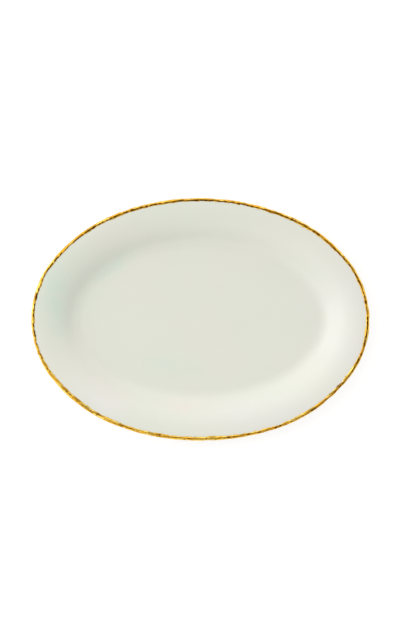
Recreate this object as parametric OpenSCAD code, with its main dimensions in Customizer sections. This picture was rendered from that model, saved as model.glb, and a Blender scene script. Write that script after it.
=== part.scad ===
// Oval serving platter: a one-piece china body on a foot ring, glazed over the face,
// the back and the recess inside the foot, with a hand-cut edge laid in gold.
//
// Millimetres. +Z is up and z = 0 is the table the foot ring stands on.
// The length lies along X and the width along Y. The origin is under the middle.
//
// The outline is an oval of eight tangent arcs and one cross-section is carried
// round it, so every surface of the china is a plane, a cylinder, a cone or part of
// a torus. Only the cuts in the gilded edge are flat facets.

/* [Oval] */
// Radius of the outline at the two ends
end_r = 98; // [92:6:104]
// Radius of the outline at the four shoulders
shoulder_r = 156.5; // [150:6.5:163]
// Radius of the outline along the two sides
side_r = 249; // [235:14:263]

/* [Rim and well] */
// Radius of the rim, from the lip down to the straight slope
rim_radius = 62.375; // [58:4.375:66.75]
// Length of the straight slope between the rim and the cove
slope_length = 5; // [3:2:7]
// Radius of the cove where the side meets the floor
cove_radius = 25; // [23:2:27]

/* [Wall] */
// Thickness of the floor and of the side
wall = 4.5; // [4.25:0.25:4.5]
// How much further off the underside of the rim is struck, which thins the lip
back_shift = 8.375; // [6.5:1.875:8.375]

/* [Foot ring] */
// Height of the recess inside the foot ring
recess = 3.1; // [2.8:0.3:3.4]
// Width of the flat that stands on the table
foot_flat = 2.8; // [2.4:0.4:3.2]
// Height of the band wiped bare above the table
bare = 0.9; // [0.8:0.1:1]

/* [Glaze] */
// Thickness of the glaze
glaze = 0.25; // [0.125:0.125:0.375]

/* [Gilding] */
// Width of the gold on the face
gold_face = 3; // [2.6:0.1:3.6]
// Width of the gold under the lip
gold_back = 2.1; // [1.8:0.1:2.4]
// Mean thickness of the gold over the lip
gold = 0.5; // [0.4:0.05:0.6]
// Thickness of the gold along its raised crest, on the face
crest = 0.8; // [0.5:0.05:0.9]
// How far the cuts along the edge rise and fall
hewn = 0.3; // [0.1:0.05:0.35]
// Another value gives another pattern of cuts
cut_pattern = 7; // [1:1:40]

/* [Hidden] */
$fa = 2;
$fs = 0.4;

// ---- the oval ----
// Each quarter is an end arc, a shoulder arc and a side arc. Two arcs meet on the
// line through both their centres, so the outline has no corner. The lines follow
// whole-number triangles, 3-4-5 and 44-117-125, so every centre is a short decimal.
e = [0.8, 0.6];
s = [0.352, 0.936];
a = end_r - e.x * (end_r - shoulder_r) - s.x * (shoulder_r - side_r);
b = e.y * (end_r - shoulder_r) + s.y * (shoulder_r - side_r) + side_r;
end_c = [a - end_r, 0];
shoulder_c = end_c + (end_r - shoulder_r) * e;
side_c = [0, b - side_r];
echo(length = 2 * a, width = 2 * b);

// The eight arcs, anticlockwise: centre, radius, directions of both ends, and the
// quarter turn the arc starts from with the number of quarter turns that hold it
function span(k) = let (w = atan2(k[3].y, k[3].x) - atan2(k[2].y, k[2].x)) w < 0 ? w + 360 : w;
function turned(c, r, p, q, x, y) = x * y > 0
    ? [[c.x * x, c.y * y], r, [p.x * x, p.y * y], [q.x * x, q.y * y]]
    : [[c.x * x, c.y * y], r, [q.x * x, q.y * y], [p.x * x, p.y * y]];
function quarter(x, y, turn) = [concat(turned(shoulder_c, shoulder_r, e, s, x, y), [turn, 1])];
ARCS = concat(
    [[end_c, end_r, [e.x, -e.y], e, -1, 2]],
    quarter(1, 1, 0),
    [[side_c, side_r, s, [-s.x, s.y], 0, 2]],
    quarter(-1, 1, 1),
    [[-end_c, end_r, [-e.x, e.y], -e, 1, 2]],
    quarter(-1, -1, 2),
    [[-side_c, side_r, -s, [s.x, -s.y], 2, 2]],
    quarter(1, -1, 3)
);

// ---- the cross-section ----
// x = 0 is the outermost point of the lip and x is negative going in.
// Across the wall at the straight slope, from the back to the face: 32.5 degrees
// from upright, which is again a whole-number triangle, 336-527-625
u = [-0.5376, 0.8432];
rim_slope = atan2(-u.x, u.y);
// The underside of the rim is struck from back_shift further off than the face, so
// the wall thins toward the lip. The rounded lip is tangent to both.
back_r = rim_radius - wall + back_shift;
reach = [back_shift * u.x, rim_radius + back_shift * u.y];
nose = (reach * reach - back_r * back_r) / (2 * (reach.y + back_r));
z_floor = recess + wall;
z_top = z_floor + (rim_radius + cove_radius) * (1 - u.y) - slope_length * u.x;
rim_c = [-nose, z_top - rim_radius];
back_c = rim_c - back_shift * u;
nose_c = [-nose, z_top - nose];
// The rim curve is level at the lip and has the full slope at its lower end.
rim_end = rim_c + rim_radius * u;
slope_end = rim_end + slope_length * [-u.y, u.x];
cove_c = slope_end + cove_radius * u;
cove_out = cove_radius + wall;
d_floor = -cove_c.x;
// The sweep carries the level floor this far in, and a plate fills the middle.
d_sweep = d_floor + 9;
d_plate = d_floor + 5;

// ---- the foot ring ----
chamfer = 0.6;
fillet_out = 1.5;
fillet_in = 1.2;
// Centre of the outer fillet, which runs the foot into the curve of the cove
fo = cove_c + (cove_out + fillet_out) * [0.28, -0.96];
x_out = fo.x - fillet_out;
foot_a = -x_out + glaze + chamfer;
foot_b = foot_a + foot_flat;
foot_mid = (foot_a + foot_b) / 2;
x_in = -foot_b - chamfer - glaze;
fi = [x_in - fillet_in, recess - fillet_in];
z_in = recess + wall / 2;

// The china, with every glazed surface set in by g
module section(g) {
    // rounded lip
    translate(nose_c) circle(r = nose - g);
    // rim
    intersection() {
        difference() {
            translate(rim_c) circle(r = rim_radius - g);
            translate(back_c) circle(r = back_r + g);
        }
        polygon([
            nose_c, [nose_c.x, z_top + 2], [rim_end.x, z_top + 2],
            rim_end + 2 * u, rim_end - (wall + 2) * u,
            nose_c + 2 * nose * (back_c - nose_c) / norm(back_c - nose_c),
        ]);
    }
    // straight slope
    polygon([
        rim_end - g * u, slope_end - g * u,
        slope_end - (wall - g) * u, rim_end - (wall - g) * u,
    ]);
    // cove
    intersection() {
        difference() {
            translate(cove_c) circle(r = cove_out - g);
            translate(cove_c) circle(r = cove_radius + g);
        }
        polygon([
            cove_c, [cove_c.x, cove_c.y - cove_out - 4], cove_c - (cove_out + 4) * u,
        ]);
    }
    // floor, and the level ceiling of the recess out to the foot
    translate([-d_sweep, recess + g]) square([d_sweep - d_floor, wall - 2 * g]);
    translate([-d_sweep, recess + g]) square([d_sweep - foot_mid, wall / 2 - g]);
    // foot ring
    polygon([
        [x_out - g, bare], [x_out - g, fo.y], [-foot_a, fo.y], [-foot_a, z_in],
        [-foot_b, z_in], [-foot_b, fi.y], [x_in + g, fi.y], [x_in + g, bare],
    ]);
    difference() {
        polygon([
            fo, fo + (fillet_out + 1.6) * [-0.28, 0.96],
            [-foot_a, z_in], [-foot_a, fo.y],
        ]);
        translate(fo) circle(r = fillet_out + g);
    }
    difference() {
        polygon([fi, [-foot_b, fi.y], [-foot_b, z_in], [fi.x, z_in]]);
        translate(fi) circle(r = fillet_in + g);
    }
}

// The bare part of the foot, which stands on the table
module bare_foot() {
    polygon([
        [-foot_a, 0], [-foot_a + chamfer, chamfer], [-foot_a + chamfer, bare],
        [-foot_b - chamfer, bare], [-foot_b - chamfer, chamfer], [-foot_b, 0],
    ]);
}

// The middle of the wall, from the lip to the level floor
MIDDLE = [
    nose_c,
    for (i = [1 : 6]) rim_c + (rim_radius - wall / 2) * [-sin(rim_slope * i / 6), cos(rim_slope * i / 6)],
    for (i = [6 : -1 : 0])
        cove_c + (cove_radius + wall / 2) * [sin(rim_slope * i / 6), -cos(rim_slope * i / 6)],
];
z_mid = z_floor - wall / 2;

// One coat of glaze, kept where the children lie
module coat() {
    intersection() {
        difference() {
            section(0);
            section(glaze);
        }
        children();
    }
}

// Carries a cross-section round the oval: each arc is cut from a larger turning
module sweep() {
    for (k = ARCS)
        intersection() {
            translate([k[0].x, k[0].y, 0]) rotate([0, 0, 90 * k[4]])
                rotate_extrude(angle = 90 * k[5]) translate([k[1], 0]) children();
            translate([0, 0, -1]) linear_extrude(ceil(z_top) + 2)
                polygon([k[0], k[0] + 500 * k[2], k[0] + 500 * k[3]]);
        }
}

// A level plate over the middle, with its edge inside the swept floor
module plate(z, h) {
    translate([0, 0, z]) linear_extrude(h)
        polygon([
            for (k = ARCS) let (t = atan2(k[2].y, k[2].x), w = span(k))
                for (i = [0 : 5])
                    k[0] + (k[1] - d_plate) * [cos(t + w * i / 6), sin(t + w * i / 6)],
        ]);
}

// The fired body, one piece from the foot to the lip
module china_body() {
    color("ivory") {
        sweep() {
            section(glaze);
            bare_foot();
        }
        plate(recess + glaze, wall - 2 * glaze);
    }
}

// Glaze over the well, the side and the rim, as far as the edge of the lip
module face_glaze() {
    color("honeydew") {
        sweep() coat()
            polygon(concat([[-d_sweep - 1, z_top + 2], [-d_sweep - 1, z_mid]],
                [for (i = [len(MIDDLE) - 1 : -1 : 0]) MIDDLE[i]],
                [[2, nose_c.y], [2, z_top + 2]]));
        plate(z_floor - glaze, glaze);
    }
}

// Glaze under the rim and the side, down to the wiped foot
module back_glaze() {
    color("azure")
        sweep() coat()
            polygon(concat([[2, 0], [2, nose_c.y]], MIDDLE,
                [[-foot_mid, z_mid], [-foot_mid, 0]]));
}

// Glaze inside the foot ring
module recess_glaze() {
    color("lightcyan") {
        sweep() coat()
            polygon([[-foot_mid, 0], [-foot_mid, z_mid], [-d_sweep - 1, z_mid], [-d_sweep - 1, 0]]);
        plate(recess, glaze);
    }
}

// ---- the gilded edge ----
// Sections of the gold stand about this far apart along the edge, and every corner
// of each is moved a little, which makes the flat cuts.
cut = 4.5;
gap = 0.03;
STATIONS = [
    for (k = ARCS)
        let (n = round(k[1] * span(k) * PI / 180 / cut), t = atan2(k[2].y, k[2].x), w = span(k) / n)
            for (i = [0 : n - 1]) [k[0], k[1], t + w * (i + 0.5), w],
];
N = len(STATIONS);
SHIFT = rands(-0.3, 0.3, N, cut_pattern);
CUTS = [for (k = [1 : 6]) rands(-1, 1, N, cut_pattern + 100 * k)];
function z_face(d) = rim_c.y + sqrt(rim_radius * rim_radius - pow(d + rim_c.x, 2));
function z_back(d) = back_c.y + sqrt(back_r * back_r - pow(d + back_c.x, 2));

// Corners of one section as [distance out from the lip, height]: six against the
// glaze from the face to the back, then six on the outside coming back.
function gold_section(c, front) =
    let (w = nose + gap, h = w * tan(22.5), k = 1 / cos(22.5),
        df = gold_face + 0.35 * front + 0.45 * c[0], db = gold_back + 0.3 * c[5],
        t1 = k * (crest + 0.7 * hewn * c[1]), t2 = k * (gold + hewn * c[2]),
        t3 = k * (gold + hewn * c[3]), t4 = k * (0.7 * gold + 0.6 * hewn * c[4]))
    [
        [-df, z_face(df) + gap], [h - nose, nose_c.y + w],
        [gap, nose_c.y + h], [gap, nose_c.y - h],
        [h - nose, nose_c.y - w], [-db, z_back(db) - gap],
        [-db, z_back(db) - gap - 0.15],
        [h - nose + t4 * cos(67.5), nose_c.y - w - t4 * sin(67.5)],
        [gap + t3 * cos(22.5), nose_c.y - h - t3 * sin(22.5)],
        [gap + t2 * cos(22.5), nose_c.y + h + t2 * sin(22.5)],
        [h - nose + t1 * cos(67.5), nose_c.y + w + t1 * sin(67.5)],
        [-df, z_face(df) + gap + 0.15 + 0.06 * c[1]],
    ];

module gilded_edge() {
    points = [
        for (i = [0 : N - 1])
            let (k = STATIONS[i], t = k[2] + SHIFT[i] * k[3],
                c = [for (j = [0 : 5]) CUTS[j][i]])
            for (g = gold_section(c, -sin(t)))
                [k[0].x + (k[1] + g.x) * cos(t), k[0].y + (k[1] + g.x) * sin(t), g.y],
    ];
    faces = [
        for (i = [0 : N - 1]) for (k = [0 : 11])
            let (j = (i + 1) % N, m = (k + 1) % 12,
                A = 12 * i + k, B = 12 * i + m, C = 12 * j + m, D = 12 * j + k)
            each (i + k) % 2 == 0 ? [[A, B, C], [A, C, D]] : [[A, B, D], [B, C, D]],
    ];
    color("gold") polyhedron(points = points, faces = faces, convexity = 4);
}

china_body();
face_glaze();
back_glaze();
recess_glaze();
gilded_edge();
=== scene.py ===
import math

import bpy
import numpy as np
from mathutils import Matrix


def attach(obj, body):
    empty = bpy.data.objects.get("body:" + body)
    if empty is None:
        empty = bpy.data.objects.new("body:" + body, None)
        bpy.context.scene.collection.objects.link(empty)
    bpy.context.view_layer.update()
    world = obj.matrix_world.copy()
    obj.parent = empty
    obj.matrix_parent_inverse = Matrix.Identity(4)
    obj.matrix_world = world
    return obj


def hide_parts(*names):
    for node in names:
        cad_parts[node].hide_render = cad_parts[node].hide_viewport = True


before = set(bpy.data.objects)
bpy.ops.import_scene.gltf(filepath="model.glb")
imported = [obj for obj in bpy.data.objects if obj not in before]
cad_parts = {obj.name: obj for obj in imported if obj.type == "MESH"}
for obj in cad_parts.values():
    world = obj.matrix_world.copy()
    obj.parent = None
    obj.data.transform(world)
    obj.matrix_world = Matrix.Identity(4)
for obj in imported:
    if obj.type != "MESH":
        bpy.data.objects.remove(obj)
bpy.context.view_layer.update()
scene = bpy.context.scene

# ======================================================================
# The camera: straight above the platter, its length across the frame
# ======================================================================
cam_data = bpy.data.cameras.new("camera")
cam_data.lens = 100.0
cam_data.sensor_width = 36.0
cam_data.clip_start = 0.05
cam_data.clip_end = 50.0
cam = bpy.data.objects.new("camera", cam_data)
scene.collection.objects.link(cam)
cam.location = (-0.00045, -0.00035, 1.8936)
cam.rotation_euler = (0.0, 0.0, 0.0)
scene.camera = cam

# ======================================================================
# The design's own dimensions, in millimetres, as the CAD part has them
# ======================================================================
MM = 0.001
END_R, SHOULDER_R, SIDE_R = 98.0, 156.5, 249.0
EX, EY = 0.8, 0.6
SX, SY = 0.352, 0.936
HALF_L = END_R - EX * (END_R - SHOULDER_R) - SX * (SHOULDER_R - SIDE_R)
HALF_W = EY * (END_R - SHOULDER_R) + SY * (SHOULDER_R - SIDE_R) + SIDE_R

RIM_R, SLOPE, COVE_R, WALL, SHIFT = 62.375, 5.0, 25.0, 4.5, 8.375
RECESS, BARE, GLAZE, CHAMFER, FOOT_FLAT = 3.1, 0.9, 0.25, 0.6, 2.8
U = np.array([-0.5376, 0.8432])
BACK_R = RIM_R - WALL + SHIFT
REACH = np.array([SHIFT * U[0], RIM_R + SHIFT * U[1]])
NOSE = float((REACH @ REACH - BACK_R ** 2) / (2 * (REACH[1] + BACK_R)))
Z_FLOOR = RECESS + WALL
Z_TOP = Z_FLOOR + (RIM_R + COVE_R) * (1 - U[1]) - SLOPE * U[0]
RIM_C = np.array([-NOSE, Z_TOP - RIM_R])
BACK_C = RIM_C - SHIFT * U
NOSE_C = np.array([-NOSE, Z_TOP - NOSE])
RIM_END = RIM_C + RIM_R * U
SLOPE_END = RIM_END + SLOPE * np.array([-U[1], U[0]])
COVE_C = SLOPE_END + COVE_R * U
D_FLOOR = -COVE_C[0]
D_IN = 62.0
FO = COVE_C + (COVE_R + WALL + 1.5) * np.array([0.28, -0.96])
X_OUT = FO[0] - 1.5
FOOT_A = -X_OUT + GLAZE + CHAMFER
FOOT_B = FOOT_A + FOOT_FLAT
X_IN = -FOOT_B - CHAMFER - GLAZE
FI = np.array([X_IN - 1.2, RECESS - 1.2])
ANG_U = math.degrees(math.atan2(U[1], U[0]))
ANG_TAN = math.degrees(math.atan2(BACK_C[1] - NOSE_C[1], BACK_C[0] - NOSE_C[0]))


def outline(n):
    """n stations evenly along the oval: points, outward directions and arc lengths."""
    te = math.atan2(EY, EX)
    ts = math.atan2(SY, SX)
    pi = math.pi
    end = (HALF_L - END_R, 0.0)
    sh = (end[0] + (END_R - SHOULDER_R) * EX, (END_R - SHOULDER_R) * EY)
    side = (0.0, HALF_W - SIDE_R)
    arcs = [
        (end[0], 0.0, END_R, -te, te),
        (sh[0], sh[1], SHOULDER_R, te, ts),
        (0.0, side[1], SIDE_R, ts, pi - ts),
        (-sh[0], sh[1], SHOULDER_R, pi - ts, pi - te),
        (-end[0], 0.0, END_R, pi - te, pi + te),
        (-sh[0], -sh[1], SHOULDER_R, pi + te, pi + ts),
        (0.0, -side[1], SIDE_R, pi + ts, 2 * pi - ts),
        (sh[0], -sh[1], SHOULDER_R, 2 * pi - ts, 2 * pi - te),
    ]
    lengths = np.array([r * (b - a) for _, _, r, a, b in arcs])
    ends = np.cumsum(lengths)
    total = ends[-1]
    s = np.arange(n) * total / n
    which = np.searchsorted(ends, s, side="right")
    start = ends - lengths
    p = np.zeros((n, 2))
    d = np.zeros((n, 2))
    for i in range(n):
        cx, cy, r, a, _ = arcs[which[i]]
        t = a + (s[i] - start[which[i]]) / r
        d[i] = math.cos(t), math.sin(t)
        p[i] = cx + r * d[i, 0], cy + r * d[i, 1]
    return p, d, s, total


def arc(c, r, a0, a1, n):
    a = np.radians(np.linspace(a0, a1, n))
    return np.c_[c[0] + r * np.cos(a), c[1] + r * np.sin(a)]


def line(a, b, n):
    t = np.linspace(0, 1, n)[:, None]
    return (1 - t) * np.asarray(a, float) + t * np.asarray(b, float)


def joined(*runs):
    out = [runs[0]]
    for r in runs[1:]:
        out.append(r[1:] if np.allclose(r[0], out[-1][-1], atol=1e-6) else r)
    return np.concatenate(out)


def face_curve(g, lip_n=9, rim_n=26):
    """The face from the outermost point of the lip to the level floor, set in by g."""
    return joined(
        arc(NOSE_C, NOSE - g, 0, 90, lip_n),
        arc(RIM_C, RIM_R - g, 90, ANG_U, rim_n),
        line(RIM_END - g * U, SLOPE_END - g * U, 4),
        arc(COVE_C, COVE_R + g, ANG_U - 180, -90, 16),
        line([COVE_C[0], Z_FLOOR - g], [-D_IN, Z_FLOOR - g], 4),
    )


def back_curve(g, lip_n=9, rim_n=20):
    """The back from the outermost point of the lip to the foot, set in by g."""
    return joined(
        arc(NOSE_C, NOSE - g, 0, ANG_TAN, lip_n),
        arc(BACK_C, BACK_R + g, ANG_TAN + 180, ANG_U, rim_n),
        line(RIM_END - (WALL - g) * U, SLOPE_END - (WALL - g) * U, 4),
        arc(COVE_C, COVE_R + WALL - g, ANG_U - 180, math.degrees(math.atan2(-0.96, 0.28)), 8),
        arc(FO, 1.5 + g, math.degrees(math.atan2(0.96, -0.28)), 180, 7),
        line([X_OUT - g, FO[1]], [X_OUT - g, BARE], 6),
    )


def recess_curve(g):
    """The inside of the foot and the ceiling of the recess, set in by g."""
    return joined(
        line([X_IN + g, BARE], [X_IN + g, FI[1]], 4),
        arc(FI, 1.2 + g, 0, 90, 7),
        line([FI[0], RECESS + g], [-D_IN, RECESS + g], 5),
    )


# ======================================================================
# How the hand-made piece departs from the drawing
# ======================================================================
M = 480
P0, DIR, S0, LENGTH = outline(M)


def waves(seed, n, short, long, fall=1.0):
    """A smooth random field over the plan, in [-1, 1] or so: n plane waves with
    wavelengths between short and long, in millimetres."""
    rng = np.random.default_rng(seed)
    wl = short * (long / short) ** rng.random(n)
    th = rng.random(n) * 2 * math.pi
    ph = rng.random(n) * 2 * math.pi
    amp = wl ** fall
    amp = amp / math.sqrt(float((amp ** 2).sum()) / 2) * 0.5
    kx, ky = 2 * math.pi / wl * np.cos(th), 2 * math.pi / wl * np.sin(th)

    def f(x, y):
        v = np.zeros(np.shape(x))
        for a, p, q, c in zip(amp, kx, ky, ph):
            v = v + a * np.sin(p * x + q * y + c)
        return v

    return f


def round_waves(seed, n, short, long, fall=0.5):
    """The same along the edge: a smooth random function of the arc length that
    closes on itself, with wavelengths between short and long."""
    rng = np.random.default_rng(seed)
    lo, hi = max(1, LENGTH / long), LENGTH / short
    ks = np.unique(np.round(lo * (hi / lo) ** rng.random(n))).astype(int)
    ph = rng.random(len(ks)) * 2 * math.pi
    amp = (1.0 / ks) ** fall
    amp = amp / math.sqrt(float((amp ** 2).sum()) / 2) * 0.5

    def f(s):
        v = np.zeros(np.shape(s))
        for a, k, c in zip(amp, ks, ph):
            v = v + a * np.sin(2 * math.pi * k * s / LENGTH + c)
        return v

    return f


def turn(p):
    """The angle about the middle that goes with points of the outline."""
    return np.arctan2(p[:, 1] / HALF_W, p[:, 0] / HALF_L)


def spread(p):
    """How far the outline stands outside the drawn oval, in millimetres: a slow,
    hand-made unevenness, as (waves round the edge, size, phase)."""
    t = turn(p)
    v = np.zeros(len(t))
    for k, size, phase in ((1, 0.08, -2.1), (2, 0.14, 0.2), (3, 0.12, 1.2), (4, 0.11, -1.0),
                           (5, 0.12, -1.6), (6, 0.08, 1.8), (7, 0.08, 0.1), (8, 0.12, 2.7)):
        v = v + size * np.cos(k * t + phase)
    return v


def lift(p):
    """Slow rise and fall of the rim, from the warp of the firing."""
    t = turn(p)
    return 0.16 * np.cos(2 * t - 0.4) + 0.09 * np.sin(3 * t + 1.1) + 0.05 * np.sin(7 * t)


FLOW = waves(11, 14, 26.0, 95.0)      # broad unevenness left by the mould and the glaze
PEEL = waves(12, 22, 9.0, 24.0)       # shorter ripple of the glaze
UNDER = waves(13, 16, 14.0, 60.0)


def fade(v, a, b):
    t = np.clip((np.asarray(v, float) - a) / (b - a), 0, 1)
    return t * t * (3 - 2 * t)


def ring(x, z, step=1, wavy=0.0, scale=1.0):
    """One closed ring of the china at profile point (x, z). Past D_IN the ring is the
    ring at D_IN, scaled toward the middle."""
    p, n = P0[::step], DIR[::step]
    d = -x
    out = spread(p) * math.exp(-((d / 30.0) ** 2))
    up = lift(p) * (1 - float(fade(d, 4.0, 44.0)))
    r = (d - out)[:, None]
    xy = (p - n * r) * scale
    zz = z + up
    if wavy:
        zz = zz + wavy * (0.7 * FLOW(xy[:, 0], xy[:, 1]) + 0.15 * PEEL(xy[:, 0], xy[:, 1]))
    return np.c_[xy, zz * np.ones(len(xy))]


MID = [(0.93, 1), (0.86, 1), (0.79, 1), (0.73, 2), (0.67, 2), (0.61, 2), (0.55, 2), (0.5, 2),
       (0.45, 4), (0.4, 4), (0.35, 4), (0.3, 4), (0.25, 8), (0.2, 8), (0.15, 8), (0.1, 16), (0.05, 16)]


def middle(z, wavy):
    """Rings over the level middle, from D_IN to the last one round the centre."""
    return [ring(-D_IN, z, step, wavy, k) for k, step in MID]


def centre(z, wavy):
    zz = z
    if wavy:
        zz = z + wavy * (0.7 * float(FLOW(0.0, 0.0)) + 0.15 * float(PEEL(0.0, 0.0)))
    return np.array([[0.0, 0.0, zz]])


def skin(rings, loop=False):
    """Vertices and faces through a run of rings. Rings may halve their count, and a
    ring of one point is a pole. With loop the last ring joins the first."""
    verts = np.concatenate(rings)
    base = np.cumsum([0] + [len(r) for r in rings])
    faces = []
    pairs = [(i, i + 1) for i in range(len(rings) - 1)]
    if loop:
        pairs.append((len(rings) - 1, 0))
    for i, j in pairs:
        a, b = base[i], base[j]
        n, m = len(rings[i]), len(rings[j])
        if n == 1 and m == 1:
            continue
        if n == m:
            k = np.arange(n)
            q = (k + 1) % n
            faces += np.c_[a + k, a + q, b + q, b + k].tolist()
        elif m == 1:
            k = np.arange(n)
            faces += np.c_[a + k, a + (k + 1) % n, np.full(n, b)].tolist()
        elif n == 1:
            k = np.arange(m)
            faces += np.c_[np.full(m, a), b + (k + 1) % m, b + k].tolist()
        elif n == 2 * m:
            k = np.arange(m)
            q = (k + 1) % m
            faces += np.c_[a + 2 * k, a + 2 * k + 1, b + k].tolist()
            faces += np.c_[a + 2 * k + 1, b + q, b + k].tolist()
            faces += np.c_[a + 2 * k + 1, a + (2 * k + 2) % n, b + q].tolist()
        elif m == 2 * n:
            k = np.arange(n)
            q = (k + 1) % n
            faces += np.c_[a + k, b + 2 * k + 1, b + 2 * k].tolist()
            faces += np.c_[a + k, a + q, b + 2 * k + 1].tolist()
            faces += np.c_[a + q, b + (2 * k + 2) % m, b + 2 * k + 1].tolist()
        else:
            raise ValueError("rings don't match")
    return verts, faces


def volume(verts, faces):
    v = 0.0
    for size in (3, 4):
        f = np.array([q for q in faces if len(q) == size])
        if len(f):
            a = verts[f[:, 0]]
            for k in range(1, size - 1):
                v += float(np.einsum("ij,ij->i", a, np.cross(verts[f[:, k]], verts[f[:, k + 1]])).sum()) / 6
    return v


def piece(name, verts, faces, node, material, smooth=True, fields=None):
    if volume(verts, faces) < 0:
        faces = [f[::-1] for f in faces]
    mesh = bpy.data.meshes.new(name)
    mesh.from_pydata((verts * MM).tolist(), [], faces)
    mesh.validate()
    mesh.update()
    if smooth:
        mesh.polygons.foreach_set("use_smooth", np.ones(len(mesh.polygons), bool))
    for key, values in (fields or {}).items():
        at = mesh.attributes.new(key, "FLOAT", "POINT")
        at.data.foreach_set("value", np.asarray(values, np.float32))
    mesh.materials.append(material)
    o = bpy.data.objects.new(name, mesh)
    scene.collection.objects.link(o)
    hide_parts(node)
    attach(o, "root")
    return o


# ======================================================================
# Node helpers
# ======================================================================
def new_material(name):
    m = bpy.data.materials.new(name)
    m.use_nodes = True
    nt = m.node_tree
    nt.nodes.clear()
    out = nt.nodes.new("ShaderNodeOutputMaterial")
    bsdf = nt.nodes.new("ShaderNodeBsdfPrincipled")
    nt.links.new(bsdf.outputs[0], out.inputs[0])
    return m, nt, bsdf


def socket(nt, target, value):
    if isinstance(value, (int, float)):
        target.default_value = value
    elif isinstance(value, tuple):
        target.default_value = value if len(value) == len(target.default_value) else value + (1.0,)
    else:
        nt.links.new(value, target)


def coords(nt):
    return nt.nodes.new("ShaderNodeTexCoord").outputs["Object"]


def noise(nt, at, scale, detail=3.0, rough=0.5, distortion=0.0, stretch=None):
    if stretch:
        m = nt.nodes.new("ShaderNodeMapping")
        m.inputs["Scale"].default_value = stretch
        nt.links.new(at, m.inputs["Vector"])
        at = m.outputs[0]
    n = nt.nodes.new("ShaderNodeTexNoise")
    n.inputs["Scale"].default_value = scale
    n.inputs["Detail"].default_value = detail
    n.inputs["Roughness"].default_value = rough
    n.inputs["Distortion"].default_value = distortion
    nt.links.new(at, n.inputs["Vector"])
    return n.outputs["Fac"]


def span(nt, value, a, b, lo=0.0, hi=1.0, smooth=True):
    n = nt.nodes.new("ShaderNodeMapRange")
    n.interpolation_type = "SMOOTHSTEP" if smooth else "LINEAR"
    nt.links.new(value, n.inputs[0])
    for i, v in zip((1, 2, 3, 4), (a, b, lo, hi)):
        n.inputs[i].default_value = v
    return n.outputs[0]


def math_node(nt, op, a, b=None, clamp=False):
    n = nt.nodes.new("ShaderNodeMath")
    n.operation = op
    n.use_clamp = clamp
    socket(nt, n.inputs[0], a)
    if b is not None:
        socket(nt, n.inputs[1], b)
    return n.outputs[0]


def mix(nt, fac, a, b, mode="MIX"):
    n = nt.nodes.new("ShaderNodeMix")
    n.data_type = "RGBA"
    n.blend_type = mode
    n.clamp_factor = True
    socket(nt, n.inputs[0], fac)
    socket(nt, n.inputs[6], a)
    socket(nt, n.inputs[7], b)
    return n.outputs[2]


def blob(nt, at, cx, cy, rx, ry, power=1.0, turned=0.0):
    """power at (cx, cy), fading to 0 at an ellipse rx by ry, in metres, over the plan,
    whose rx axis is turned anticlockwise by that many radians."""
    move = nt.nodes.new("ShaderNodeVectorMath")
    move.operation = "SUBTRACT"
    nt.links.new(at, move.inputs[0])
    move.inputs[1].default_value = (cx, cy, 0)
    m = nt.nodes.new("ShaderNodeVectorRotate")
    m.rotation_type = "Z_AXIS"
    m.inputs["Angle"].default_value = -turned
    nt.links.new(move.outputs[0], m.inputs["Vector"])
    scale = nt.nodes.new("ShaderNodeVectorMath")
    scale.operation = "MULTIPLY"
    nt.links.new(m.outputs[0], scale.inputs[0])
    scale.inputs[1].default_value = (1 / rx, 1 / ry, 0)
    v = nt.nodes.new("ShaderNodeVectorMath")
    v.operation = "LENGTH"
    nt.links.new(scale.outputs[0], v.inputs[0])
    return span(nt, v.outputs["Value"], 0.0, 1.0, power, 0.0)


def bump(nt, bsdf, height, distance, strength=1.0, before=None):
    b = nt.nodes.new("ShaderNodeBump")
    b.inputs["Strength"].default_value = strength
    b.inputs["Distance"].default_value = distance
    nt.links.new(height, b.inputs["Height"])
    if before is not None:
        nt.links.new(before, b.inputs["Normal"])
    if bsdf is not None:
        nt.links.new(b.outputs[0], bsdf.inputs["Normal"])
    return b.outputs[0]


# ======================================================================
# Materials
# ======================================================================
IVORY = (0.797, 0.799, 0.700)
CELADON = (0.690, 0.800, 0.690)
BLUSH = (0.822, 0.772, 0.705)
# milk and pearl: paler, less yellow tints for the lit right end and near side, partly painted sheen
MILK_SHEEN = (0.806, 0.786, 0.745)
PEARL_SHEEN = (0.850, 0.828, 0.790)


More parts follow.
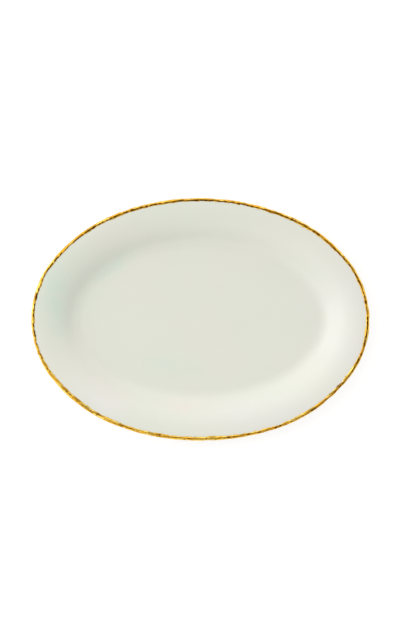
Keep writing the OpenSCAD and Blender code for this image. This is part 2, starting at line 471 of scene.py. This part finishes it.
def glaze_material(name, seed, tinted):
    m, nt, bsdf = new_material(name)
    at = coords(nt)
    shift = nt.nodes.new("ShaderNodeMapping")
    shift.inputs["Location"].default_value = (seed * 1.7, seed * 0.9, seed * 0.4)
    nt.links.new(at, shift.inputs["Vector"])
    p = shift.outputs[0]

    # pale ivory, drifting very slightly to green
    cloud = span(nt, noise(nt, p, 11.0, 3.0, 0.5, 0.5), 0.36, 0.66, 0.0, 0.16)
    colour = mix(nt, cloud, IVORY, CELADON)
    if tinted:
        # colour laid over the plan, as (centre x, y, half-lengths, turn, tint, amount): the milk and pearl patches,
        # paler and less yellow on the right end and near side where the glaze faces the light, are partly glaze tint
        # and partly painted sheen; the celadon and blush patches make the glaze greener toward the left and far side
        # and pinker in places
        drift = span(nt, noise(nt, p, 34.0, 3.0, 0.55, 0.8), 0.30, 0.60, 0.45, 1.0)
        tints_and_sheen = [
            (0.150, 0.005, 0.075, 0.150, 0.0, MILK_SHEEN, 0.80),
            (0.0600, -0.1000, 0.1200, 0.0320, 0.15, MILK_SHEEN, 0.85),
            (-0.1020, -0.0860, 0.0700, 0.0240, -0.60, PEARL_SHEEN, 0.75),
            (-0.1550, 0.0230, 0.0260, 0.0640, 0.08, CELADON, 1.00),
            (-0.1300, 0.0500, 0.0450, 0.0800, 0.50, CELADON, 0.35),
            (-0.0900, 0.0590, 0.0480, 0.0170, 0.55, CELADON, 0.70),
            (-0.0350, -0.0480, 0.0600, 0.0200, -0.10, CELADON, 0.40),
            (-0.0200, 0.1150, 0.1300, 0.0260, 0.0, CELADON, 0.12),
            (0.0450, -0.0050, 0.0500, 0.0350, 0.3, CELADON, 0.20),
            (-0.0950, -0.0740, 0.0560, 0.0200, -0.60, BLUSH, 0.75),
            (-0.0190, -0.0920, 0.0420, 0.0150, -0.10, BLUSH, 0.95),
            (-0.1250, -0.0200, 0.0200, 0.0260, 0.0, BLUSH, 0.40),
            (0.0400, -0.0100, 0.0300, 0.0180, 0.0, BLUSH, 0.30),
            (0.1720, -0.0150, 0.0150, 0.0450, 0.0, BLUSH, 0.35),
        ]
        for cx, cy, rx, ry, turn_, tint, amount in tints_and_sheen:
            fac = math_node(nt, "MULTIPLY", blob(nt, at, cx, cy, rx, ry, amount, turn_), drift)
            colour = mix(nt, fac, colour, tint)
    # faint mottle in the depth of the glaze, and a few fine iron specks
    mottle = noise(nt, p, 55.0, 4.0, 0.55, 0.2)
    colour = mix(nt, span(nt, mottle, 0.20, 0.80, 0.0, 0.06), colour, (0.86, 0.86, 0.79))
    if not tinted:
        vor = nt.nodes.new("ShaderNodeTexVoronoi")
        vor.inputs["Scale"].default_value = 62.0
        vor.inputs["Randomness"].default_value = 1.0
        nt.links.new(p, vor.inputs["Vector"])
        speck = span(nt, vor.outputs["Distance"], 0.012, 0.024, 1.0, 0.0)
        rare = span(nt, noise(nt, p, 31.0, 1.0), 0.62, 0.68)
        colour = mix(nt, math_node(nt, "MULTIPLY", math_node(nt, "MULTIPLY", speck, rare), 0.35),
                     colour, (0.42, 0.33, 0.20))
    nt.links.new(colour, bsdf.inputs["Base Color"])

    rough = span(nt, noise(nt, p, 38.0, 3.0, 0.5), 0.3, 0.7, 0.285, 0.335)
    nt.links.new(rough, bsdf.inputs["Roughness"])
    bsdf.inputs["IOR"].default_value = 1.5
    bsdf.inputs["Coat Weight"].default_value = 0.20
    bsdf.inputs["Coat Roughness"].default_value = 0.12
    bsdf.inputs["Coat IOR"].default_value = 1.5

    peel = noise(nt, p, 210.0, 2.0, 0.45)
    first = bump(nt, None, peel, 0.000007)
    if tinted:
        bump(nt, bsdf, noise(nt, p, 90.0, 1.0, 0.5), 0.000010, 1.0, first)
    else:
        pin = span(nt, vor.outputs["Distance"], 0.0, 0.05, 0.0, 1.0)
        bump(nt, bsdf, pin, 0.00002, 0.6, first)
    return m


def biscuit_material():
    """Bare fired china, seen only on the foot: chalky, warm, toasted at the glaze line."""
    m, nt, bsdf = new_material("bare_china")
    at = coords(nt)
    base = mix(nt, span(nt, noise(nt, at, 70.0, 5.0, 0.6), 0.3, 0.7), (0.74, 0.66, 0.53), (0.84, 0.79, 0.69))
    sep = nt.nodes.new("ShaderNodeSeparateXYZ")
    nt.links.new(at, sep.inputs[0])
    edge = math_node(nt, "ADD", sep.outputs[2], math_node(
        nt, "MULTIPLY", math_node(nt, "SUBTRACT", noise(nt, at, 160.0, 3.0, 0.6), 0.5), 0.0006))
    toast = span(nt, edge, 0.00045, 0.00088, 0.0, 0.65)
    base = mix(nt, toast, base, (0.60, 0.36, 0.17))
    scuff = span(nt, noise(nt, at, 900.0, 4.0, 0.7), 0.52, 0.66, 0.0, 0.35)
    base = mix(nt, scuff, base, (0.50, 0.46, 0.40))
    nt.links.new(base, bsdf.inputs["Base Color"])
    nt.links.new(span(nt, noise(nt, at, 300.0, 3.0), 0.3, 0.7, 0.70, 0.92), bsdf.inputs["Roughness"])
    bump(nt, bsdf, noise(nt, at, 2200.0, 4.0, 0.7), 0.00006)
    return m


def gold_material():
    """Burnished gold over the hand-cut edge, darkened brown along its crest: partly gold rubbed through, partly
    painted dark reflection.
    """
    m, nt, bsdf = new_material("burnished_gold")
    at = coords(nt)

    def field(name):
        n = nt.nodes.new("ShaderNodeAttribute")
        n.attribute_type = "GEOMETRY"
        n.attribute_name = name
        return n.outputs["Fac"]

    patch = noise(nt, at, 240.0, 4.0, 0.6, 0.4)
    fine = noise(nt, at, 1500.0, 3.0, 0.6)
    colour = mix(nt, span(nt, patch, 0.35, 0.65), (0.98, 0.62, 0.075), (1.0, 0.76, 0.20))
    colour = mix(nt, span(nt, field("tone"), 0.10, 1.0, 0.0, 0.85), colour, (0.82, 0.40, 0.012))
    rub_and_dark_reflection = math_node(nt, "MULTIPLY", field("rub_and_dark_reflection"), span(nt, noise(nt, at, 420.0, 3.0, 0.6), 0.28, 0.50, 0.70, 1.0))
    crease = math_node(nt, "MULTIPLY", field("crease"), span(nt, patch, 0.30, 0.62, 0.30, 0.9))
    wear_and_dark_reflection = math_node(nt, "MAXIMUM", rub_and_dark_reflection, crease)
    # brown and near-black along the crest and the cut ridges: worn gold, with painted dark reflection in the crest
    # line
    colour = mix(nt, span(nt, wear_and_dark_reflection, 0.05, 0.55), colour, (0.46, 0.19, 0.008))
    colour = mix(nt, span(nt, wear_and_dark_reflection, 0.60, 0.92), colour, (0.030, 0.010, 0.0006))
    colour = mix(nt, span(nt, fine, 0.58, 0.76, 0.0, 0.30), colour, (0.42, 0.19, 0.02))
    nt.links.new(colour, bsdf.inputs["Base Color"])
    bsdf.inputs["Metallic"].default_value = 1.0
    bsdf.inputs["Specular Tint"].default_value = (1.0, 0.90, 0.60, 1.0)
    rough = math_node(nt, "ADD", span(nt, patch, 0.3, 0.7, 0.18, 0.26),
                      math_node(nt, "MULTIPLY", wear_and_dark_reflection, 0.20), clamp=True)
    nt.links.new(rough, bsdf.inputs["Roughness"])
    first = bump(nt, None, noise(nt, at, 700.0, 3.0, 0.55), 0.00005)
    bump(nt, bsdf, noise(nt, at, 2600.0, 3.0, 0.6), 0.00002, 1.0, first)
    return m


mat_face = glaze_material("glaze_face", 1.0, True)
mat_back = glaze_material("glaze_back", 2.0, False)
mat_recess = glaze_material("glaze_recess", 3.0, False)
mat_bare = biscuit_material()
mat_gold = gold_material()


# ======================================================================
# The china and its three coats of glaze
# ======================================================================
def profile_rings(curve, wavy=0.0, wave_from=4.0, slow=None):
    out = []
    for x, z in curve:
        w = wavy * float(fade(-x, wave_from, wave_from + 8.0)) if wavy else 0.0
        out.append(ring(x, z, 1, w))
    return out


WAVE = 0.075

# glaze over the face
outer = profile_rings(face_curve(0.0), WAVE)
inner = profile_rings(face_curve(GLAZE, 6, 14))
rings = (outer + middle(Z_FLOOR, WAVE) + [centre(Z_FLOOR, WAVE)]
         + [centre(Z_FLOOR - GLAZE, 0.0)] + middle(Z_FLOOR - GLAZE, 0.0)[::-1] + inner[::-1])
v, f = skin(rings, loop=True)
piece("face_glaze_coat", v, f, "face_glaze", mat_face)

# glaze over the back: a rolled, uneven edge where the foot is wiped bare
wipe = round_waves(21, 16, 9.0, 160.0)
curl = round_waves(22, 20, 6.0, 60.0)


def glaze_edge(points, down_to):
    """Rings of a glaze coat, the last stretch above the wiped foot drawn up or down."""
    out = []
    s = S0
    line_z = down_to + 0.10 * wipe(s) + 0.05 * curl(s)
    for x, z in points:
        r = ring(x, z)
        k = float(1 - fade(z, down_to, down_to + 0.9))
        r[:, 2] = r[:, 2] + k * (line_z - down_to)
        out.append(r)
    return out


def under_wave(rings_, points, amount):
    for r, (x, z) in zip(rings_, points):
        k = amount * float(fade(-x, 5.0, 12.0)) * float(fade(z, 3.2, 6.0))
        if k:
            r[:, 2] -= k * UNDER(r[:, 0], r[:, 1])
    return rings_


curve_out = back_curve(0.0)
curve_in = back_curve(GLAZE, 6, 10)
outer = under_wave(glaze_edge(curve_out, BARE), curve_out, 0.07)
inner = glaze_edge(curve_in, BARE)
# the edge of the coat swells a little and rounds over
last = outer[-1].copy()
mid = 0.5 * (outer[-1] + inner[-1])
mid[:, 2] -= 0.10
shoulder = 0.75 * outer[-1] + 0.25 * inner[-1]
shoulder[:, 2] -= 0.07
shoulder_in = 0.25 * outer[-1] + 0.75 * inner[-1]
shoulder_in[:, 2] -= 0.07
v, f = skin(outer + [shoulder, mid, shoulder_in] + inner[::-1], loop=True)
piece("back_glaze_coat", v, f, "back_glaze", mat_back)

# glaze in the recess
curve_out = recess_curve(0.0)
curve_in = recess_curve(GLAZE)
outer = glaze_edge(curve_out, BARE)
inner = glaze_edge(curve_in, BARE)
mid = 0.5 * (outer[0] + inner[0])
mid[:, 2] -= 0.08
for r, (x, z) in zip(outer, curve_out):
    k = 0.05 * float(fade(-x, 52.0, 60.0))
    if k:
        r[:, 2] -= k * (0.7 * FLOW(r[:, 0], r[:, 1]) + 0.15 * PEEL(r[:, 0], r[:, 1]))
rings = ([mid] + outer + middle(RECESS, -0.05) + [centre(RECESS, -0.05)]
         + [centre(RECESS + GLAZE, 0.0)] + middle(RECESS + GLAZE, 0.0)[::-1] + inner[::-1])
v, f = skin(rings, loop=True)
piece("recess_glaze_coat", v, f, "recess_glaze", mat_recess)

# the fired china: one closed body, bare only on the foot
foot = joined(
    line([X_OUT - GLAZE, BARE], [X_OUT - GLAZE, CHAMFER], 3),
    arc([-FOOT_A, CHAMFER], CHAMFER, 0, -90, 7),
    line([-FOOT_A, 0.0], [-FOOT_B, 0.0], 4),
    arc([-FOOT_B, CHAMFER], CHAMFER, -90, -180, 7),
    line([-FOOT_B - CHAMFER, CHAMFER], [X_IN + GLAZE, BARE], 3),
)
whole = joined(
    face_curve(GLAZE, 8, 16)[::-1],
    back_curve(GLAZE, 10, 14),
    foot,
    recess_curve(GLAZE),
)
rings = ([centre(Z_FLOOR - GLAZE, 0.0)] + middle(Z_FLOOR - GLAZE, 0.0)[::-1]
         + profile_rings(whole)
         + middle(RECESS + GLAZE, 0.0) + [centre(RECESS + GLAZE, 0.0)])
v, f = skin(rings)
piece("china", v, f, "china_body", mat_bare)


# ======================================================================
# The gilded edge: a bead of gold, cut by hand into flats
# ======================================================================
N = 2048
PG, DG, SG, _ = outline(N)
rng = np.random.default_rng(5)

# the lip in polar form about a point inside it
C = np.array([-1.55, 22.10])


def polar(points):
    d = points - C
    a = np.unwrap(np.arctan2(d[:, 1], d[:, 0]))
    r = np.hypot(d[:, 0], d[:, 1])
    order = np.argsort(a)
    return a[order], r[order]


lip_line = joined(
    arc(RIM_C, RIM_R, 95.0, 90.0, 24),
    arc(NOSE_C, NOSE, 90.0, ANG_TAN, 60),
    arc(BACK_C, BACK_R, ANG_TAN + 180, ANG_TAN + 184, 20),
)
la, lr = polar(lip_line)

# how proud the gold stands before it is cut, by distance in from the lip or by angle
bead_line = np.array([
    [-4.6, 23.98], [-3.9, 24.06], [-3.25, 24.12], [-2.85, 24.30], [-2.35, 24.56], [-1.85, 24.74], [-1.40, 24.80],
    [-0.95, 24.74], [-0.45, 24.50], [0.00, 24.10], [0.36, 23.55], [0.56, 22.90], [0.60, 22.25],
    [0.50, 21.55], [0.22, 20.95], [-0.25, 20.48], [-0.85, 20.22], [-1.45, 20.20], [-1.95, 20.36],
    [-2.30, 20.60],
])
ba, br = polar(bead_line)


inner_wave = round_waves(31, 40, 5.0, 60.0, 0.35)
inner_jag = round_waves(32, 60, 2.2, 7.0, 0.1)
back_wave = round_waves(33, 30, 6.0, 50.0, 0.4)
front = -DG[:, 1]
side_x = DG[:, 0]
t_g = turn(PG)


def about(angle, width):
    """1 at that angle round the edge, in degrees, fading over width degrees."""
    d = np.degrees(np.angle(np.exp(1j * (t_g - math.radians(angle)))))
    return np.exp(-((d / width) ** 2))


# broadest where the brush was loaded: along the near side and at two shoulders
d_face = (2.95 + 0.50 * np.clip(front, 0, 1) ** 2 + 0.45 * about(0, 25)
          + 0.95 * about(-143, 20) + 0.65 * about(57, 20) + 0.50 * about(120, 22)
          - 0.55 * about(-68, 9) - 0.60 * about(-171, 9) - 0.45 * about(140, 9) - 0.40 * about(78, 14)
          + 0.35 * about(-88, 9)
          + 0.50 * inner_wave(SG) + 0.20 * inner_jag(SG))
d_face = np.clip(d_face, 1.95, 4.3)
d_back = np.clip(2.05 + 0.25 * back_wave(SG), 1.7, 2.4)


def z_face(d):
    return RIM_C[1] + np.sqrt(RIM_R ** 2 - (-d - RIM_C[0]) ** 2)


def z_back(d):
    return BACK_C[1] + np.sqrt(BACK_R ** 2 - (-d - BACK_C[0]) ** 2)


phi_face = np.arctan2(z_face(d_face) - C[1], -d_face - C[0])
phi_back = np.arctan2(z_back(d_back) - C[1], -d_back - C[0])
K = 26
t = np.linspace(0, 1, K)
PHI = phi_face[:, None] * (1 - t) + phi_back[:, None] * t
R_LIP = np.interp(PHI, la, lr)
R_BEAD = np.interp(PHI, ba, br)

# the cuts: planes laid against the bead in five rows, each with its own depth and tilt
rows = [
    # normal angle, spread, mean spacing, depth range, tilt along the edge
    (113.0, 9.0, 5.0, (0.02, 0.28), 8.0),
    (93.0, 11.0, 6.0, (0.00, 0.24), 7.0),
    (62.0, 13.0, 4.6, (0.02, 0.34), 9.0),
    (22.0, 13.0, 5.4, (0.00, 0.32), 8.0),
    (-25.0, 13.0, 7.0, (0.00, 0.26), 6.0),
    (-70.0, 12.0, 7.5, (0.00, 0.22), 5.0),
]
planes = []
for ang, jitter, step, depth, tilt in rows:
    s = rng.random() * step
    while s < LENGTH:
        a = math.radians(ang + jitter * (2 * rng.random() - 1))
        d = depth[0] + (depth[1] - depth[0]) * rng.random() ** 1.5
        # the bead's reach in the direction of the plane's normal
        reach = float(((bead_line - C) @ np.array([math.cos(a), math.sin(a)])).max())
        planes.append((s, a, reach - d, math.tan(math.radians(tilt * (2 * rng.random() - 1)))))
        s += step * (0.45 + 1.1 * rng.random())
planes = np.array(planes)
best = np.full((N, K), 1e9)
who = np.zeros((N, K), int)
second = np.full((N, K), 1e9)
for k, (s, a, h, g) in enumerate(planes):
    ds = SG - s
    ds = (ds + LENGTH / 2) % LENGTH - LENGTH / 2
    i = np.nonzero(np.abs(ds) < 9.0)[0]
    c = np.cos(PHI[i] - a)
    # each cut is slightly hollow along the edge and runs out at its ends
    top = (h + g * ds[i] + 0.010 * ds[i] ** 2)[:, None]
    r = np.where(c > 0.25, top / np.maximum(c, 0.25), 1e9)
    old = best[i]
    better = r < old
    second[i] = np.where(better, old, np.minimum(second[i], r))
    best[i] = np.where(better, r, old)
    who[i] = np.where(better, k, who[i])
cutr = np.minimum(best, R_BEAD)
crease = np.clip(1 - (second - best) / 0.10, 0, 1) * (best < R_BEAD)
thick = np.maximum(cutr - R_LIP, 0.12)
# the gold thins out over its last stretch at both edges
edge_in = np.clip((t[None, :] * np.ones((N, 1))) / 0.07, 0, 1)
edge_out = np.clip((1 - t[None, :]) / 0.06, 0, 1)
thin = np.minimum(edge_in, edge_out)
thick = 0.07 + (thick - 0.07) * np.sqrt(thin)
R_OUT = R_LIP + thick
R_IN = R_LIP + 0.02


def gold_ring(r, phi):
    out = spread(PG)
    up = lift(PG)
    x = C[0] + r * np.cos(phi)
    z = C[1] + r * np.sin(phi)
    xy = PG + DG * (x + out)[:, None]
    return np.c_[xy, z + up]


KI = 12
ti = np.linspace(1, 0, KI)
rings = [gold_ring(R_OUT[:, j], PHI[:, j]) for j in range(K)]
for q in ti:
    phi = phi_face * (1 - q) + phi_back * q
    rings.append(gold_ring(np.interp(phi, la, lr) + 0.02, phi))
# the gold darkens to a dark brown along the crest, in dashes of uneven length, hardly at all along the near side:
# partly gold rubbed through, partly painted dark reflection, placed and weighted side by side where the gilding turns
# from the light
along = 0.60 * round_waves(41, 40, 12.0, 60.0, 0.2)(SG) + 0.80 * round_waves(42, 60, 4.0, 11.0, 0.1)(SG)
kept = np.clip(front - 0.08, 0, 1) * (0.95 - 0.35 * side_x)
share = 0.80 - 0.50 * np.clip(kept, 0, 1)
away_side = np.clip(-side_x, 0, 1)
dash = (0.50 - 0.18 * np.clip(kept, 0, 1) - 0.30 * away_side) + (0.62 + 0.30 * away_side) * fade(along + (2 * share - 1.30 - 0.20 * away_side), -0.16, 0.16)
dash = np.clip(dash, 0, 1)
# painted dark reflection: the dark line moves outward toward the lower right and changes strength between the left
# and right sides
down_right = about(-45, 32)
crest_x = -1.95 + 1.10 * down_right + 0.30 * round_waves(43, 30, 8.0, 60.0)(SG)
X_OUT_G = C[0] + R_OUT * np.cos(PHI)
Z_OUT_G = C[1] + R_OUT * np.sin(PHI)
reach_g = 0.78 + 0.24 * round_waves(44, 30, 5.0, 30.0, 0.2)(SG)
rub_and_dark_reflection = np.exp(-(np.abs(X_OUT_G - crest_x[:, None]) / reach_g[:, None]) ** 3) * (Z_OUT_G > C[1] + 1.0) * dash[:, None]
rub_and_reflection_rings = [rub_and_dark_reflection[:, j] for j in range(K)] + [np.zeros(N)] * KI
tone_row = rng.random(len(planes))
tone = [tone_row[who[:, j]] for j in range(K)] + [np.zeros(N)] * KI
cre = [crease[:, j] for j in range(K)] + [np.zeros(N)] * KI
v, f = skin(rings, loop=True)
piece("gold_edge", v, f, "gilded_edge", mat_gold,
      fields={"tone": np.concatenate(tone), "crease": np.concatenate(cre), "rub_and_dark_reflection": np.concatenate(rub_and_reflection_rings)})


# ======================================================================
# A plain white floor, soft studio light and pale surroundings
# ======================================================================
def sheet_of_floor(name, z, albedo, glow):
    mesh = bpy.data.meshes.new(name)
    mesh.from_pydata([(-6, -6, 0), (6, -6, 0), (6, 6, 0), (-6, 6, 0)], [], [(0, 1, 2, 3)])
    o = bpy.data.objects.new(name, mesh)
    o.location = (0, 0, z)
    scene.collection.objects.link(o)
    m, nt, bsdf = new_material(name)
    bsdf.inputs["Base Color"].default_value = (albedo, albedo, albedo, 1)
    bsdf.inputs["Roughness"].default_value = 0.9
    bsdf.inputs["Specular IOR Level"].default_value = 0.0
    bsdf.inputs["Emission Color"].default_value = (1, 1, 1, 1)
    bsdf.inputs["Emission Strength"].default_value = glow
    mesh.materials.append(m)
    return o


# The floor comes as two sheets. The upper one is what the camera and reflections see,
# a lit white table. The lower one, 0.01 mm down, is what scattered light comes back
# from, and it is dimmer, so that the underside of the china keeps its shading.
floor = sheet_of_floor("floor", -0.00005, 0.52, 0.64)
floor.visible_diffuse = False
floor.visible_transmission = False
floor.visible_shadow = False
bounce = sheet_of_floor("floor_bounce", -0.00006, 0.70, 0.0)
bounce.visible_camera = False

world = bpy.data.worlds.new("studio")
scene.world = world
world.use_nodes = True
wt = world.node_tree
wt.nodes.clear()
w_out = wt.nodes.new("ShaderNodeOutputWorld")
w_bg = wt.nodes.new("ShaderNodeBackground")
wt.links.new(w_bg.outputs[0], w_out.inputs[0])
gen = wt.nodes.new("ShaderNodeTexCoord").outputs["Generated"]
sep = wt.nodes.new("ShaderNodeSeparateXYZ")
wt.links.new(gen, sep.inputs[0])
# brightness by height: white at the horizon, dimmer overhead where the camera stands
height = wt.nodes.new("ShaderNodeValToRGB")
wt.links.new(sep.outputs[2], height.inputs[0])
ramp = height.color_ramp
ramp.interpolation = "EASE"
stops = [(0.0, 0.78), (0.30, 0.78), (0.50, 0.90), (0.66, 0.98), (0.76, 0.88), (0.88, 0.55), (0.95, 0.32), (1.0, 0.26)]
ramp.elements[0].position, ramp.elements[1].position = stops[0][0], stops[-1][0]
for pos, val in stops[1:-1]:
    ramp.elements.new(pos)
for el, (pos, val) in zip(ramp.elements, stops):
    el.position = pos
    el.color = (val, val, val, 1)
# brighter toward the window, dimmer away from it
toward = wt.nodes.new("ShaderNodeVectorMath")
toward.operation = "DOT_PRODUCT"
wt.links.new(gen, toward.inputs[0])
toward.inputs[1].default_value = (-0.74, 0.67, 0.0)
lean = math_node(wt, "MULTIPLY_ADD", toward.outputs["Value"], 0.235)
lean.node.inputs[2].default_value = 1.0
away = span(wt, toward.outputs["Value"], -0.80, -0.25, 0.60, 1.0)
low = span(wt, sep.outputs[2], 0.10, 0.32, 0.0, 1.0)
dim = math_node(wt, "MULTIPLY", math_node(wt, "SUBTRACT", away, 1.0), low)
strength = math_node(wt, "MULTIPLY", math_node(wt, "MULTIPLY", lean, math_node(wt, "ADD", dim, 1.0)), 1.315)
wt.links.new(height.outputs[0], w_bg.inputs["Color"])
wt.links.new(strength, w_bg.inputs["Strength"])


def softbox(name, direction, distance, size, radiance, colour=(1, 1, 1)):
    d = np.array(direction, float)
    d = d / np.linalg.norm(d)
    light = bpy.data.lights.new(name, "AREA")
    light.shape = "RECTANGLE"
    light.size, light.size_y = size
    light.color = colour
    light.energy = radiance * math.pi * size[0] * size[1]
    o = bpy.data.objects.new(name, light)
    scene.collection.objects.link(o)
    o.location = tuple(d * distance)
    from mathutils import Vector
    o.rotation_euler = Vector(tuple(d)).to_track_quat("Z", "Y").to_euler()
    return o


softbox("key", (-0.82, 0.14, 0.56), 1.7, (1.4, 1.2), 0.85, (1.0, 0.995, 0.985))

scene.view_settings.view_transform = "Standard"
scene.view_settings.look = "None"
scene.view_settings.exposure = 0.0
scene.view_settings.gamma = 1.0
